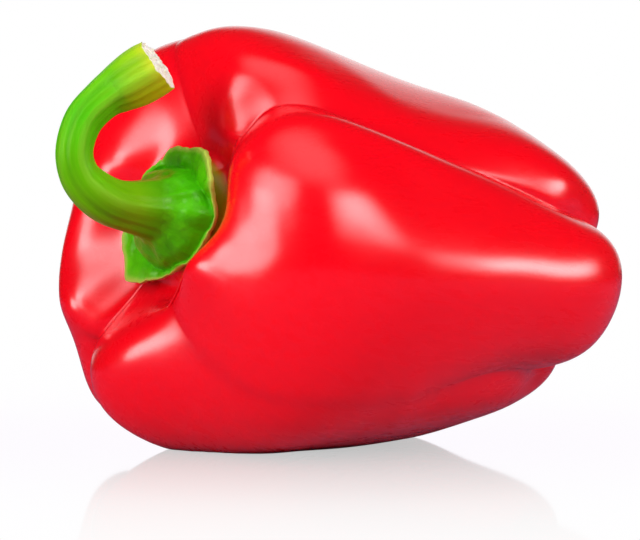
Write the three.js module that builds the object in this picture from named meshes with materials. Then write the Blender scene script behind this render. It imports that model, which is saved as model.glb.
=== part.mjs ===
import * as THREE from 'three';

// A sweet bell pepper lying on its side: the fruit, its calyx and its curled stem.
// Millimetres, +Z up. The long axis runs along X, with the stem at -X and the blossom end at +X.
// Shapes are worked out in the pepper's own coordinates: h towards the near side (-Y), e upwards,
// a along the axis towards the stem. The axis is then tipped up by AXIS_TILT.

// ---- driving dimensions ----
const AXIS_TILT = 7;            // degrees, stem end up, as it lies on two of its lobes
const FLAT_DEPTH = 0.7;         // how much the lowest lobe is flattened where it rests
const PIECE_GAP = 0.35;         // between the fruit, the calyx and the stem
// Radius of 18 rings from the stem cavity to the blossom end, every 30 degrees round the axis
// (0 = near side, 90 = up, 180 = far side, 270 = down). They are the control points of a smooth
// surface, so it runs a little inside them.
const FRUIT_RADII = [
  [0, 0, 0, 0, 0, 0, 0, 0, 0, 0, 0, 0],
  [7.5, 7.5, 7.5, 7.5, 7.5, 7.5, 7.5, 7.5, 7.5, 7.5, 7.5, 7.5],
  [12.5, 12.5, 12.5, 12.5, 12.5, 12.5, 12.5, 12.5, 12.5, 12.5, 12.5, 12.5],
  [17.3, 16.5, 15.5, 15.5, 15.5, 15.5, 16.1, 16.7, 15.5, 15.5, 15.5, 15.8],
  [17.9, 18.8, 19.8, 20.4, 22.0, 23.9, 30.2, 34.4, 24.7, 14.9, 12.7, 12.3],
  [23.6, 26.8, 29.3, 33.7, 39.2, 38.8, 38.8, 40.7, 37.0, 22.9, 18.4, 18.5],
  [40.2, 38.9, 36.6, 42.9, 54.0, 50.0, 43.4, 43.0, 51.4, 38.1, 39.3, 38.3],
  [46.3, 43.0, 38.2, 46.2, 56.4, 53.5, 49.7, 50.1, 52.0, 45.8, 50.2, 49.1],
  [48.4, 43.8, 35.4, 42.6, 51.2, 52.4, 51.1, 49.6, 46.2, 42.4, 48.4, 51.4],
  [51.1, 43.9, 35.2, 40.0, 45.7, 48.2, 48.1, 46.2, 43.1, 41.4, 46.8, 50.8],
  [51.1, 43.3, 36.9, 38.9, 40.6, 41.8, 42.1, 41.0, 39.2, 39.2, 43.5, 49.5],
  [53.1, 42.3, 34.8, 34.2, 34.5, 35.1, 35.7, 36.1, 36.8, 38.4, 38.8, 48.5],
  [49.9, 39.8, 30.2, 27.6, 27.6, 28.4, 29.3, 30.4, 31.7, 32.8, 34.5, 46.8],
  [38.8, 32.6, 24.6, 21.1, 20.5, 21.0, 21.9, 23.0, 23.9, 25.3, 29.8, 38.2],
  [24.6, 22.2, 17.8, 14.3, 12.9, 12.9, 13.5, 14.2, 15.3, 17.5, 21.3, 24.6],
  [12.5, 11.7, 10.3, 8.6, 7.8, 7.6, 7.8, 8.1, 8.8, 10.0, 11.6, 12.5],
  [4.0, 4.0, 4.0, 4.0, 4.0, 4.0, 4.0, 4.0, 4.0, 4.0, 4.0, 4.0],
  [0, 0, 0, 0, 0, 0, 0, 0, 0, 0, 0, 0],
];
// Station of the same 18 rings along the axis, from the blossom end (about 0) to the shoulders.
const FRUIT_STATIONS = [
  [101.5, 101.5, 101.5, 101.5, 101.5, 101.5, 101.5, 101.5, 101.5, 101.5, 101.5, 101.5],
  [101.5, 101.5, 101.5, 101.5, 101.5, 101.5, 101.5, 101.5, 101.5, 101.5, 101.5, 101.5],
  [101.0, 101.0, 101.0, 101.0, 101.0, 101.0, 101.0, 101.0, 101.0, 101.0, 101.0, 101.0],
  [96.3, 95.3, 95.8, 95.9, 96.1, 97.1, 97.5, 97.5, 97.5, 97.5, 97.5, 97.5],
  [106.2, 106.6, 102.7, 97.8, 97.3, 103.5, 107.7, 109.8, 109.4, 108.7, 110.2, 113.1],
  [105.0, 106.0, 100.4, 96.0, 99.4, 103.3, 102.2, 106.0, 113.1, 108.7, 107.4, 109.7],
  [98.7, 96.1, 91.8, 91.6, 95.1, 92.6, 86.8, 89.6, 108.9, 103.1, 100.6, 99.9],
  [83.7, 80.4, 76.8, 77.2, 79.2, 76.4, 74.8, 80.2, 90.9, 89.6, 87.8, 85.5],
  [67.8, 62.4, 58.0, 58.3, 59.1, 59.2, 61.0, 65.3, 72.5, 76.3, 75.3, 72.3],
  [54.7, 46.4, 41.0, 40.6, 41.5, 43.4, 46.8, 50.9, 55.6, 59.9, 62.2, 61.2],
  [40.5, 32.4, 26.8, 25.1, 26.2, 28.6, 32.1, 36.2, 40.2, 43.7, 46.3, 46.7],
  [26.9, 21.7, 17.4, 14.9, 15.0, 17.0, 20.0, 24.2, 27.8, 30.1, 33.7, 31.8],
  [14.8, 11.6, 8.9, 6.4, 5.8, 7.0, 9.6, 13.0, 17.1, 21.2, 23.8, 18.9],
  [5.8, 1.6, -0.1, -1.2, -1.6, -0.7, 1.3, 4.4, 8.5, 12.9, 15.1, 10.9],
  [1.7, -1.9, -3.4, -3.3, -2.9, -2.2, -0.9, 1.3, 4.1, 6.6, 7.4, 5.4],
  [4.8, 3.2, 2.5, 2.6, 2.9, 3.3, 3.9, 4.8, 6.0, 6.9, 7.1, 6.3],
  [9.0, 9.0, 9.0, 9.0, 9.0, 9.0, 9.0, 9.0, 9.0, 9.0, 9.0, 9.0],
  [10.1, 10.1, 10.1, 10.1, 10.1, 10.1, 10.1, 10.1, 10.1, 10.1, 10.1, 10.1],
];
// Sideways shift of each ring towards the near side and upwards.
const RING_SHIFT_NEAR = [-4.00, -4.00, -4.00, -3.60, -1.80, 0, 0, 0, 0, 0, 0, 0, 0, 0, 0, 0, 0, 0];
const RING_SHIFT_UP = [3.50, 3.50, 3.50, 3.15, 1.57, 0, 0, 0, 0, 0, 0, 0, 0, 0, 0, 0, 0, 0];
// The four grooves between the lobes. Each list has one value for every ring: the angle in degrees,
// the depth and half-width of the broad valley, and those of the sharp crease at its bottom.
const GROOVES = [
  { angle: [41, 44, 48, 53, 60, 68, 63, 49, 37, 31, 26, 20, 22, 11, 4, 14, 30, 48],
    valley: [0, 0, 0, 1.2, 4.2, 5.7, 4.3, 3.7, 4.4, 5.0, 5.3, 5.7, 6.0, 5.5, 5.0, 3.0, 0, 0], valleyWidth: [5.0, 5.0, 5.0, 5.0, 5.0, 5.0, 5.2, 5.2, 5.0, 5.0, 5.0, 5.0, 5.0, 5.0, 5.0, 5.0, 5.0, 5.0],
    crease: [0, 0, 0, 0.5, 1.5, 1.2, 0.4, 0.3, 0.9, 1.6, 1.8, 1.9, 2.0, 2.0, 2.0, 1.0, 0, 0], creaseWidth: [1.5, 1.5, 1.5, 1.5, 1.5, 1.5, 1.5, 1.5, 1.5, 1.5, 1.5, 1.5, 1.5, 1.5, 1.5, 1.5, 1.5, 1.5] },
  { angle: [103, 98, 93, 91, 107, 111, 118, 111, 115, 114, 115, 116, 114, 113, 114, 114, 115, 115],
    valley: [0, 0, 0, 1.1, 2.4, 2.1, 2.1, 3.0, 3.8, 4.0, 4.3, 4.7, 5.0, 5.0, 5.0, 3.0, 0, 0], valleyWidth: [5.0, 5.0, 5.0, 5.0, 6.5, 7.5, 7.5, 6.5, 5.5, 5.0, 5.0, 5.0, 5.0, 5.0, 5.0, 5.0, 5.0, 5.0],
    crease: [0, 0, 0, 0.4, 0.6, 0.3, 0.2, 0.5, 1.0, 1.6, 1.8, 1.9, 2.0, 2.0, 2.0, 1.0, 0, 0], creaseWidth: [1.5, 1.5, 1.5, 1.5, 1.5, 1.5, 1.5, 1.5, 1.5, 1.5, 1.5, 1.5, 1.5, 1.5, 1.5, 1.5, 1.5, 1.5] },
  { angle: [222, 224, 223, 230, 232, 223, 241, 247, 228, 223, 221, 218, 222, 220, 219, 219, 220, 220],
    valley: [0, 0, 0, 1.2, 3.8, 5.0, 5.0, 5.0, 4.5, 4.0, 4.3, 4.7, 5.0, 5.0, 5.0, 3.0, 0, 0], valleyWidth: [5.0, 5.0, 5.0, 5.0, 5.0, 5.0, 5.0, 5.0, 5.0, 5.0, 5.0, 5.0, 5.0, 5.0, 5.0, 5.0, 5.0, 5.0],
    crease: [0, 0, 0, 0.5, 2.0, 3.0, 2.7, 2.3, 2.0, 2.0, 2.0, 2.0, 2.0, 2.0, 2.0, 1.0, 0, 0], creaseWidth: [1.2, 1.2, 1.2, 1.2, 1.2, 1.2, 1.2, 1.2, 1.2, 1.2, 1.2, 1.2, 1.2, 1.2, 1.2, 1.2, 1.2, 1.2] },
  { angle: [269, 279, 288, 284, 282, 289, 303, 317, 319, 324, 330, 329, 324, 338, 340, 331, 319, 305],
    valley: [0, 0, 0, 1.2, 3.0, 1.0, 0, 0, 0, 0.7, 2.0, 3.5, 5.0, 5.0, 5.0, 3.0, 0, 0], valleyWidth: [5.0, 5.0, 5.0, 6.0, 7.0, 8.0, 8.0, 5.0, 5.0, 5.0, 5.0, 5.0, 5.0, 5.0, 5.0, 5.0, 5.0, 5.0],
    crease: [0, 0, 0, 0.5, 0.8, 0.1, 0, 0, 0, 0, 0.5, 1.0, 2.0, 2.0, 2.0, 1.0, 0, 0], creaseWidth: [1.5, 1.5, 1.5, 1.5, 1.5, 1.5, 1.5, 1.5, 1.5, 1.5, 1.5, 1.5, 1.5, 1.5, 1.5, 1.5, 1.5, 1.5] },
];
// Local dents (+) and swellings (-): ring, angle, spread in rings, spread in degrees, turn in degrees, depth.
const DENTS = [
  [9.51, 355.80, 1.78, 9.00, -0.81, -1.40],
  [8.90, 14.85, 1.07, 7.00, -3.34, 0.90],
  [8.68, 24.45, 1.46, 5.00, -18.45, -0.70],
  [6.80, 28.80, 0.67, 3.60, -53.13, 0.75],
  [7.38, 14.25, 0.58, 3.60, -73.42, 0.55],
  [6.35, 17.55, 0.80, 7.00, -58.78, -0.70],
  [7.20, 61.80, 0.84, 3.40, -81.04, 0.70],
  [6.52, 64.35, 0.61, 6.00, -64.52, -0.50],
  [8.56, 45.90, 1.02, 6.00, -35.96, 0.70],
  [5.07, 351.60, 0.55, 4.00, -85.83, 0.30],
  [8.61, 316.65, 0.64, 2.40, -67.51, -0.45],
  [10.36, 242.93, 2.40, 11.37, 0, -3.00],
  [11.00, 259.99, 2.39, 14.00, 0, -2.00],
  [9.17, 262.33, 1.28, 9.36, 0, 1.28],
  [4.90, 149.00, 1.10, 12.00, 0, -1.80],
  [3.70, 214.00, 0.80, 9.00, 0, -0.70],
];
// Where the fruit's mesh has its rings (in ring numbers) and how many points each has.
const FRUIT_RINGS = [0.6, 1.1, 1.5, 1.8, 2.1, 2.35, 2.6, 2.85, 3.1, 3.4, 3.7, 4, 4.3, 4.6, 4.9, 5.2, 5.5, 5.8, 6.15, 6.5, 6.9, 7.3, 7.8, 8.3, 8.9, 9.5, 10.1, 10.7, 11.2, 11.6, 12, 12.35, 12.7, 13.05, 13.4, 13.7, 14, 14.35, 14.7, 15.1, 15.5, 16, 16.5];
const FRUIT_SIDES = 84;
// Calyx: centre, outline (angle, radius, height of its underside at the rim), thickness at the rim.
const CALYX_CENTRE = [-4.0, 3.5];
const CALYX_SEAT = 101.5;       // top of the low boss that the calyx grows on
const CALYX_BOSS_RADIUS = 11.5;
const CALYX_RIM = [
  [0, 15.7, 102.0], [9, 15.9, 102.2], [18, 16.2, 102.8], [23, 18.2, 104.0], [40, 17.6, 103.0], [55, 17.3, 101.8],
  [73, 15.0, 101.4], [90, 14.6, 101.4], [98, 14.4, 101.4], [108, 12.6, 101.4], [125, 12.4, 101.6], [150, 12.8, 101.8],
  [175, 13.2, 101.8], [190, 13.8, 101.8], [197, 15.4, 101.8], [205, 15.8, 101.8], [219, 16.4, 101.8], [231, 18.7, 102.4],
  [236, 17.8, 102.2], [251, 15.0, 101.8], [270, 13.2, 101.8], [289, 12.4, 101.8], [294, 12.2, 101.8], [314, 12.8, 101.8],
  [330, 13.4, 101.8], [346, 14.2, 101.8],
];
const CALYX_THICKNESS = 1.2;
// Height of the calyx's top, from its rim (0) to the neck of the stem (1), against the way in from neck to rim.
const CALYX_PROFILE = [[0, 1], [0.08, 0.84], [0.2, 0.65], [0.36, 0.5], [0.52, 0.4], [0.66, 0.28], [0.8, 0.14], [0.9, 0.04], [1, 0]];
const CALYX_SIDES = 52;
// Stem: centre line (h, e, a) from the neck to the cut end, with its radius at each point.
const STEM_PATH = [
  [-2.0, 4.2, 110.6, 6.3], [-2.5, 4.2, 115.5, 5.4], [-2.9, 4.7, 120.0, 5.05], [-3.4, 6.4, 124.1, 4.7],
  [-4.2, 9.4, 127.6, 4.15], [-4.4, 14.4, 129.4, 3.9], [-4.1, 20.7, 128.0, 4.0], [-2.3, 25.5, 124.8, 4.3],
  [-0.6, 28.1, 122.2, 5.1], [1.9, 30.2, 120.4, 5.8], [4.3, 32.1, 118.9, 6.0], [6.4, 33.6, 117.8, 5.8],
];
const STEM_RIDGES = 5;          // low ridges along the stem
const STEM_RIDGE_DEPTH = 0.04;  // as a part of the radius
const STEM_STEPS = 34;
const STEM_SIDES = 20;
const CUT_BULGE = 0.8;          // how far the middle of the torn end stands out

const rad = THREE.MathUtils.degToRad;

// ---- the fruit's surface ----
function splineWeights(t) {
  return [(1 - t) ** 3 / 6, (3 * t ** 3 - 6 * t * t + 4) / 6, (-3 * t ** 3 + 3 * t * t + 3 * t + 1) / 6, t ** 3 / 6];
}
function splineSlopes(t) {
  return [-((1 - t) ** 2) / 2, (9 * t * t - 12 * t) / 6, (-9 * t * t + 6 * t + 3) / 6, (t * t) / 2];
}
const LAST = FRUIT_RADII.length - 1;
const COLUMNS = FRUIT_RADII[0].length;
// A ring past a pole mirrors the ring next to it: radii change sign, stations don't.
function ringValue(table, k, column, sign) {
  if (k < 0) return sign * table[1][column];
  if (k > LAST) return sign * table[LAST - 1][column];
  return table[k][column];
}
function listValue(list, u) {
  const k = Math.min(Math.max(Math.floor(u), 0), LAST - 1);
  const w = splineWeights(u - k);
  let sum = 0;
  for (let i = 0; i < 4; i++) {
    const j = k - 1 + i;
    const v = j < 0 ? 2 * list[0] - list[1] : j > LAST ? 2 * list[LAST] - list[LAST - 1] : list[j];
    sum += w[i] * v;
  }
  return sum;
}
function wrapAngle(x) {
  return x - 2 * Math.PI * Math.floor((x + Math.PI) / (2 * Math.PI));
}
// Point of the skin at ring number u and angle phi, as (h, e, a).
function skin(u, phi) {
  const k = Math.min(Math.max(Math.floor(u), 0), LAST - 1);
  const w = splineWeights(u - k), dw = splineSlopes(u - k);
  const x = (((phi / (2 * Math.PI)) * COLUMNS) % COLUMNS + COLUMNS) % COLUMNS;
  const j = Math.floor(x) % COLUMNS;
  const s = splineWeights(x - Math.floor(x));
  let r = 0, z = 0, dr = 0, dz = 0;
  for (let i = 0; i < 4; i++) {
    for (let m = 0; m < 4; m++) {
      const c = (j - 1 + m + COLUMNS) % COLUMNS;
      const rv = ringValue(FRUIT_RADII, k - 1 + i, c, -1), zv = ringValue(FRUIT_STATIONS, k - 1 + i, c, 1);
      r += w[i] * s[m] * rv;
      z += w[i] * s[m] * zv;
      dr += dw[i] * s[m] * rv;
      dz += dw[i] * s[m] * zv;
    }
  }
  const len = Math.hypot(dr, dz) + 1e-9;
  const nr = -dz / len, nz = dr / len;
  let d = 0;
  for (const g of GROOVES) {
    const dist = wrapAngle(phi - rad(listValue(g.angle, u))) * r;
    d += listValue(g.valley, u) * Math.exp(-0.5 * (dist / listValue(g.valleyWidth, u)) ** 2);
    d += listValue(g.crease, u) * Math.exp(-(Math.sqrt((dist / listValue(g.creaseWidth, u)) ** 2 + 0.04) - 0.2));
  }
  for (const [u0, f0, su, sf, turn, depth] of DENTS) {
    const X = (u - u0) * 12, Y = THREE.MathUtils.radToDeg(wrapAngle(phi - rad(f0)));
    const c = Math.cos(rad(turn)), n = Math.sin(rad(turn));
    d += depth * Math.exp(-0.5 * (((c * X + n * Y) / (su * 12)) ** 2 + ((-n * X + c * Y) / sf) ** 2));
  }
  r -= nr * d;
  z -= nz * d;
  return [r * Math.cos(phi) + listValue(RING_SHIFT_NEAR, u), r * Math.sin(phi) + listValue(RING_SHIFT_UP, u), z];
}
function toWorld([h, e, a]) {
  const t = rad(AXIS_TILT);
  return [-Math.cos(t) * a + Math.sin(t) * e, -h, Math.sin(t) * a + Math.cos(t) * e];
}

// ---- closed mesh from rings, with a pole at each end ----
function closedRings(first, rings, last) {
  const n = rings[0].length;
  const pts = [first, ...rings.flat(), last];
  const index = [];
  const id = (k, j) => 1 + k * n + ((j + n) % n);
  for (let j = 0; j < n; j++) index.push(0, id(0, j), id(0, j + 1));
  for (let k = 0; k + 1 < rings.length; k++)
    for (let j = 0; j < n; j++) {
      index.push(id(k, j), id(k + 1, j), id(k + 1, j + 1));
      index.push(id(k, j), id(k + 1, j + 1), id(k, j + 1));
    }
  const end = pts.length - 1;
  for (let j = 0; j < n; j++) index.push(end, id(rings.length - 1, j + 1), id(rings.length - 1, j));
  // faces point out: a negative volume is turned round
  let volume = 0;
  for (let i = 0; i < index.length; i += 3) {
    const [a, b, c] = [pts[index[i]], pts[index[i + 1]], pts[index[i + 2]]];
    volume += a[0] * (b[1] * c[2] - b[2] * c[1]) - a[1] * (b[0] * c[2] - b[2] * c[0]) + a[2] * (b[0] * c[1] - b[1] * c[0]);
  }
  if (volume < 0) for (let i = 0; i < index.length; i += 3) [index[i + 1], index[i + 2]] = [index[i + 2], index[i + 1]];
  const geometry = new THREE.BufferGeometry();
  geometry.setAttribute('position', new THREE.Float32BufferAttribute(pts.flat(), 3));
  geometry.setIndex(index);
  geometry.computeVertexNormals();
  return geometry;
}

// ---- fruit ----
// The sides of a ring stand closer together along the grooves, so that the folds run smoothly.
function sideAngles(u) {
  const steps = 1440, sum = [0];
  const weight = (f) => 1 + 2.6 * GROOVES.reduce((w, g) =>
    w + Math.exp(-0.5 * (wrapAngle(f - rad(listValue(g.angle, u))) / rad(5)) ** 2), 0);
  for (let i = 0; i < steps; i++) {
    const f = (i / steps) * 2 * Math.PI, next = ((i + 1) / steps) * 2 * Math.PI;
    sum.push(sum[i] + (weight(f) + weight(next)) / 2);
  }
  const angles = [];
  for (let j = 0, i = 0; j < FRUIT_SIDES; j++) {
    const goal = (j / FRUIT_SIDES) * sum[steps];
    while (sum[i + 1] < goal) i++;
    angles.push(((i + (goal - sum[i]) / (sum[i + 1] - sum[i])) / steps) * 2 * Math.PI);
  }
  return angles;
}
const fruitRings = FRUIT_RINGS.map((u) => sideAngles(u).map((f) => toWorld(skin(u, f))));
const floor = Math.min(...fruitRings.flat().map((q) => q[2])) + FLAT_DEPTH;
for (const q of fruitRings.flat()) q[2] = Math.max(q[2], floor);
const fruitGeometry = closedRings(toWorld(skin(0, 0)), fruitRings, toWorld(skin(LAST, 0)));

// ---- stem centre line ----
function catmull(list, t) {
  const k = Math.min(Math.floor(t), list.length - 2), x = t - k;
  const at = (i) => list[0].map((_, c) =>
    i < 0 ? 2 * list[0][c] - list[1][c]
      : i > list.length - 1 ? 2 * list[list.length - 1][c] - list[list.length - 2][c] : list[i][c]);
  const [p0, p1, p2, p3] = [at(k - 1), at(k), at(k + 1), at(k + 2)];
  return p1.map((_, c) => p1[c] + 0.5 * x * (p2[c] - p0[c]
    + x * (2 * p0[c] - 5 * p1[c] + 4 * p2[c] - p3[c] + x * (3 * (p1[c] - p2[c]) + p3[c] - p0[c]))));
}
const stemLine = Array.from({ length: STEM_STEPS + 1 }, (_, i) => catmull(STEM_PATH, (i / STEM_STEPS) * (STEM_PATH.length - 1)));
const stemPoints = stemLine.map(([h, e, a]) => new THREE.Vector3(h, e, a));
const stemTangents = stemPoints.map((_, i) => {
  const a = stemPoints[Math.max(i - 1, 0)], b = stemPoints[Math.min(i + 1, STEM_STEPS)];
  return b.clone().sub(a).normalize();
});
// Cross directions carried along the line without twist; the first points to the near side.
const stemAcross = [];
stemTangents.forEach((t, i) => {
  const v = i ? stemAcross[i - 1].clone() : new THREE.Vector3(1, 0, 0);
  stemAcross.push(v.sub(t.clone().multiplyScalar(v.dot(t))).normalize());
});
function stemRing(i, shift, scale, sides) {
  const t = stemTangents[i], u = stemAcross[i], v = t.clone().cross(u);
  const centre = stemPoints[i].clone().addScaledVector(t, shift);
  return Array.from({ length: sides }, (_, j) => {
    const f = (j / sides) * 2 * Math.PI;
    const r = stemLine[i][3] * scale * (1 + STEM_RIDGE_DEPTH * Math.cos(STEM_RIDGES * f));
    const q = centre.clone().addScaledVector(u, r * Math.cos(f)).addScaledVector(v, r * Math.sin(f));
    return [q.x, q.y, q.z];
  });
}
const stemRings = [];
for (let i = 0; i <= STEM_STEPS; i++) stemRings.push(stemRing(i, i ? 0 : PIECE_GAP, 1, STEM_SIDES));
stemRings.push(stemRing(STEM_STEPS, CUT_BULGE * 0.7, 0.6, STEM_SIDES));
const stemStart = stemPoints[0].clone().addScaledVector(stemTangents[0], PIECE_GAP);
const stemEnd = stemPoints[STEM_STEPS].clone().addScaledVector(stemTangents[STEM_STEPS], CUT_BULGE);
const stemGeometry = closedRings(toWorld(stemStart.toArray()), stemRings.map((r) => r.map(toWorld)), toWorld(stemEnd.toArray()));

// ---- calyx ----
function tableAt(list, x, column, period) {
  const n = list.length;
  for (let i = 0; i < n; i++) {
    const a = list[i], b = period ? list[(i + 1) % n] : list[Math.min(i + 1, n - 1)];
    const x1 = b[0] + (period && i === n - 1 ? period : 0);
    if (x >= a[0] && x <= x1 && x1 > a[0]) return a[column] + ((b[column] - a[column]) * (x - a[0])) / (x1 - a[0]);
  }
  return list[n - 1][column];
}
const neck = stemRing(0, 0, 1, CALYX_SIDES);
// The neck's ring starts at the near side and turns the same way as the rim.
const neckCentre = stemPoints[0];
const neckAngle = (q) => Math.atan2(q[1] - neckCentre.y, q[0] - neckCentre.x);
const calyxRings = [neck];
const rim = neck.map((q) => {
  const angle = neckAngle(q), deg = ((THREE.MathUtils.radToDeg(angle) % 360) + 360) % 360;
  const r = tableAt(CALYX_RIM, deg, 1, 360), under = tableAt(CALYX_RIM, deg, 2, 360);
  return { angle, r, under, h: CALYX_CENTRE[0] + r * Math.cos(angle), e: CALYX_CENTRE[1] + r * Math.sin(angle) };
});
for (const t of [0.08, 0.2, 0.36, 0.52, 0.66, 0.8, 0.9, 1]) {
  const g = tableAt(CALYX_PROFILE, t, 1);
  calyxRings.push(rim.map((m, j) => {
    const top = m.under + CALYX_THICKNESS;
    return [neck[j][0] + (m.h - neck[j][0]) * t, neck[j][1] + (m.e - neck[j][1]) * t, top + (neck[j][2] - top) * g];
  }));
}
for (const t of [1, 0.8, 0.6, 0.4, 0.2, 0])
  calyxRings.push(rim.map((m) => {
    const r = CALYX_BOSS_RADIUS + (m.r - CALYX_BOSS_RADIUS) * t - (t === 1 ? 0.25 : 0);
    return [CALYX_CENTRE[0] + r * Math.cos(m.angle), CALYX_CENTRE[1] + r * Math.sin(m.angle), CALYX_SEAT + PIECE_GAP + (m.under - CALYX_SEAT - PIECE_GAP) * t];
  }));
calyxRings.push(rim.map((m) => [CALYX_CENTRE[0] + 6 * Math.cos(m.angle), CALYX_CENTRE[1] + 6 * Math.sin(m.angle), CALYX_SEAT + PIECE_GAP]));
const calyxGeometry = closedRings(toWorld(neckCentre.toArray()), calyxRings.map((r) => r.map(toWorld)), toWorld([...CALYX_CENTRE, CALYX_SEAT + PIECE_GAP]));

// ---- the pepper ----
function piece(name, geometry, color, roughness) {
  const mesh = new THREE.Mesh(geometry, new THREE.MeshStandardMaterial({ color, roughness, metalness: 0 }));
  mesh.name = name;
  return mesh;
}
const pepper = new THREE.Group();
pepper.add(piece('fruit', fruitGeometry, 0xe00018, 0.2));
pepper.add(piece('calyx', calyxGeometry, 0x4f9a1c, 0.4));
pepper.add(piece('stem', stemGeometry, 0x6fc02e, 0.45));

// The origin is under the middle of the whole, on the surface that it rests on.
const box = new THREE.Box3().setFromObject(pepper);
const middle = box.getCenter(new THREE.Vector3());
pepper.position.set(-middle.x, -middle.y, -box.min.z);

export default pepper;
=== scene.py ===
# A sweet bell pepper lying on its side: glossy red fruit, green calyx, curled stem.
# Shapes are worked out in millimetres in the pepper's own coordinates (h towards the near side, e upwards,
# a along the axis towards the stem), tipped up by the axis tilt and set down in the frame.
import math

import bpy
import numpy as np
from mathutils import Matrix, Vector


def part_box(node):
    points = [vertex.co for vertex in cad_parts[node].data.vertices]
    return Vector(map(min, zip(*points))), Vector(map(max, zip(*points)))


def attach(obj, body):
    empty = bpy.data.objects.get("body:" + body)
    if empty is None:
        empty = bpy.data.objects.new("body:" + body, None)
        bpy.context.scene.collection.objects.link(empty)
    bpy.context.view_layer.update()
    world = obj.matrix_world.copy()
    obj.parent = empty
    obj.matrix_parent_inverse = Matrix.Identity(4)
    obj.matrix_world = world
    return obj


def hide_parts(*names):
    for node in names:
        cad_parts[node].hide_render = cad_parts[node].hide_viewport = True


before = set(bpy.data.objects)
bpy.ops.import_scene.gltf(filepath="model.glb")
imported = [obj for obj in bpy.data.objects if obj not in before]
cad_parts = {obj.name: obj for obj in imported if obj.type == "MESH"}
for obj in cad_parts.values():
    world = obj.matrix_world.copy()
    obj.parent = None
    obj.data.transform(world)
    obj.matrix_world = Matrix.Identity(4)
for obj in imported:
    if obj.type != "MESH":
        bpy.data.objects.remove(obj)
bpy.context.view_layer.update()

# ------------------------------------------------------------------ camera first
CAM_AZ, CAM_EL, CAM_DIST, CAM_F = -42.00, 2.50, 800.0, 3636.0
CAM_TARGET = (-61.52, 0.00, 3.23)          # mm, in the pepper's unshifted frame

# ------------------------------------------------------------------ the fruit's driving numbers (as in the CAD)
AXIS_TILT = 7.0
FLAT_DEPTH = 0.7
FRUIT_RADII = [
    [0, 0, 0, 0, 0, 0, 0, 0, 0, 0, 0, 0],
    [7.5, 7.5, 7.5, 7.5, 7.5, 7.5, 7.5, 7.5, 7.5, 7.5, 7.5, 7.5],
    [12.5, 12.5, 12.5, 12.5, 12.5, 12.5, 12.5, 12.5, 12.5, 12.5, 12.5, 12.5],
    [17.3, 16.5, 15.5, 15.5, 15.5, 15.5, 16.1, 16.7, 15.5, 15.5, 15.5, 15.8],
    [17.9, 18.8, 19.8, 20.4, 22.0, 23.9, 30.2, 34.4, 24.7, 14.9, 12.7, 12.3],
    [23.6, 26.8, 29.3, 33.7, 39.2, 38.8, 38.8, 40.7, 37.0, 22.9, 18.4, 18.5],
    [40.2, 38.9, 36.6, 42.9, 54.0, 50.0, 43.4, 43.0, 51.4, 38.1, 39.3, 38.3],
    [46.3, 43.0, 38.2, 46.2, 56.4, 53.5, 49.7, 50.1, 52.0, 45.8, 50.2, 49.1],
    [48.4, 43.8, 35.4, 42.6, 51.2, 52.4, 51.1, 49.6, 46.2, 42.4, 48.4, 51.4],
    [51.1, 43.9, 35.2, 40.0, 45.7, 48.2, 48.1, 46.2, 43.1, 41.4, 46.8, 50.8],
    [51.1, 43.3, 36.9, 38.9, 40.6, 41.8, 42.1, 41.0, 39.2, 39.2, 43.5, 49.5],
    [53.1, 42.3, 34.8, 34.2, 34.5, 35.1, 35.7, 36.1, 36.8, 38.4, 38.8, 48.5],
    [49.9, 39.8, 30.2, 27.6, 27.6, 28.4, 29.3, 30.4, 31.7, 32.8, 34.5, 46.8],
    [38.8, 32.6, 24.6, 21.1, 20.5, 21.0, 21.9, 23.0, 23.9, 25.3, 29.8, 38.2],
    [24.6, 22.2, 17.8, 14.3, 12.9, 12.9, 13.5, 14.2, 15.3, 17.5, 21.3, 24.6],
    [12.5, 11.7, 10.3, 8.6, 7.8, 7.6, 7.8, 8.1, 8.8, 10.0, 11.6, 12.5],
    [4.0, 4.0, 4.0, 4.0, 4.0, 4.0, 4.0, 4.0, 4.0, 4.0, 4.0, 4.0],
    [0, 0, 0, 0, 0, 0, 0, 0, 0, 0, 0, 0],
]
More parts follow.
